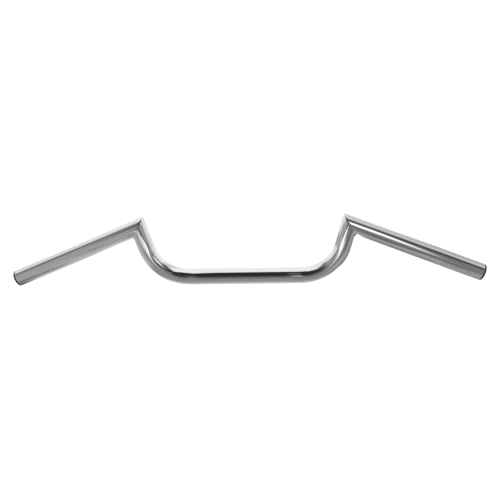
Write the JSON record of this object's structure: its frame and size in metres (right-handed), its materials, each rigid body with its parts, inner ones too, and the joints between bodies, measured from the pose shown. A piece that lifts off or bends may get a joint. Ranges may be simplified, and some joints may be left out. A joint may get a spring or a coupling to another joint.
{
  "type": "motorcycle handlebar",
  "caption": "Chromed M-shaped steel handlebar with a straight clamping length, two risers, mitred corners, sloping grip tubes and pull-out end plugs.",
  "frame": {"origin": "middle of the straight clamping length, on the tube's axis", "axes": "+X along the clamping length to one side, +Z from the clamping length towards the two corners, Y across the plane that the whole bar lies in"},
  "size_m": [0.713, 0.0254, 0.1115],
  "materials": {
    "chromed_steel": "mirror-polished chrome plate on steel tube",
    "chromed_weld": "weld ground flush, polished and plated with the tubes",
    "plug_plastic": "black moulded polyethylene, satin"
  },
  "bodies": {
    "bar": {"centre_tube": "chromed_steel", "left_grip_tube": "chromed_steel", "right_grip_tube": "chromed_steel", "left_mitre_weld": "chromed_weld", "right_mitre_weld": "chromed_weld"},
    "left_plug": {"left_end_plug": "plug_plastic"},
    "right_plug": {"right_end_plug": "plug_plastic"}
  },
  "joints": [
    {"name": "left_plug_pull", "type": "slide", "parent": "bar", "child": "left_plug", "axis": [-0.9239, 0, -0.3827], "range_m": [0, 0.03]},
    {"name": "right_plug_pull", "type": "slide", "parent": "bar", "child": "right_plug", "axis": [0.9239, 0, -0.3827], "range_m": [0, 0.03]}
  ]
}
